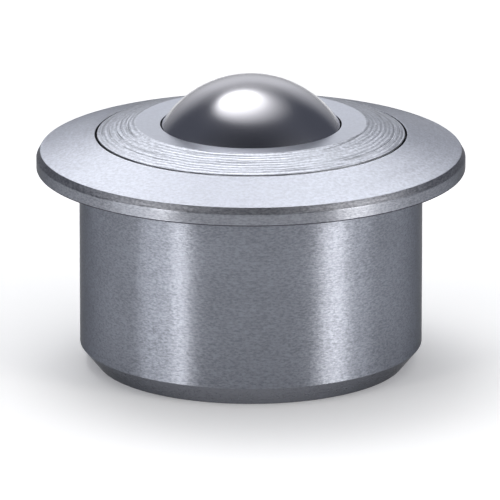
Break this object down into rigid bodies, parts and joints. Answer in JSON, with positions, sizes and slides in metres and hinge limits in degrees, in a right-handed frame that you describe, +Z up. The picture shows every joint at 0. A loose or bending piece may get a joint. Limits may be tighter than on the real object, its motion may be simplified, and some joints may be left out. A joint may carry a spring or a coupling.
{
  "type": "ball transfer unit",
  "caption": "Flanged ball transfer unit: a turned steel housing with a polished load ball standing out of a pressed-in cap ring.",
  "frame": {"origin": "centre of the flat base, at the lowest point", "axes": "+Z up along the axis of the housing, from the base through the load ball; X and Y are equal round it"},
  "size_m": [0.045, 0.045, 0.0308],
  "materials": {
    "turned_steel": "turned and bright zinc plated",
    "cap_steel": "turned, with fine round grooves",
    "cup_steel": "hardened and ground",
    "ball_steel": "polished bearing steel",
    "felt": "oiled grey felt"
  },
  "bodies": {
    "housing": {"housing": "turned_steel", "race_cup": "cup_steel", "cap_ring": "cap_steel", "felt_wiper": "felt"},
    "lowest_ball": {"support_ball_01": "ball_steel"},
    "support_balls": {"support_ball_02": "ball_steel", "support_ball_03": "ball_steel", "support_ball_04": "ball_steel", "support_ball_05": "ball_steel", "support_ball_06": "ball_steel", "support_ball_07": "ball_steel", "support_ball_08": "ball_steel", "support_ball_09": "ball_steel", "support_ball_10": "ball_steel", "support_ball_11": "ball_steel", "support_ball_12": "ball_steel", "support_ball_13": "ball_steel", "support_ball_14": "ball_steel", "support_ball_15": "ball_steel", "support_ball_16": "ball_steel", "support_ball_17": "ball_steel", "support_ball_18": "ball_steel", "support_ball_19": "ball_steel", "support_ball_20": "ball_steel", "support_ball_21": "ball_steel", "support_ball_22": "ball_steel", "support_ball_23": "ball_steel", "support_ball_24": "ball_steel", "support_ball_25": "ball_steel", "support_ball_26": "ball_steel", "support_ball_27": "ball_steel", "support_ball_28": "ball_steel", "support_ball_29": "ball_steel", "support_ball_30": "ball_steel", "support_ball_31": "ball_steel", "support_ball_32": "ball_steel", "support_ball_33": "ball_steel", "support_ball_34": "ball_steel", "support_ball_35": "ball_steel", "support_ball_36": "ball_steel", "support_ball_37": "ball_steel", "support_ball_38": "ball_steel", "support_ball_39": "ball_steel", "support_ball_40": "ball_steel", "support_ball_41": "ball_steel", "support_ball_42": "ball_steel", "support_ball_43": "ball_steel", "support_ball_44": "ball_steel", "support_ball_45": "ball_steel", "support_ball_46": "ball_steel", "support_ball_47": "ball_steel", "support_ball_48": "ball_steel", "support_ball_49": "ball_steel", "support_ball_50": "ball_steel", "support_ball_51": "ball_steel", "support_ball_52": "ball_steel", "support_ball_53": "ball_steel", "support_ball_54": "ball_steel"},
    "load_ball": {"load_ball": "ball_steel"}
  },
  "joints": [
    {"name": "load_spin", "type": "hinge", "parent": "housing", "child": "lowest_ball", "pos_m": [0, 0, 0.01969], "axis": [0, 0, 1], "continuous": true},
    {"name": "load_roll", "type": "hinge", "parent": "lowest_ball", "child": "load_ball", "pos_m": [0, 0, 0.01969], "axis": [0, 1, 0], "continuous": true},
    {"name": "support_orbit", "type": "hinge", "parent": "housing", "child": "support_balls", "pos_m": [0, 0, 0.01969], "axis": [0, 0, 1], "continuous": true}
  ],
  "couplings": [
    {"joint": "support_orbit", "follows": "load_spin", "ratio": 0.4242}
  ]
}
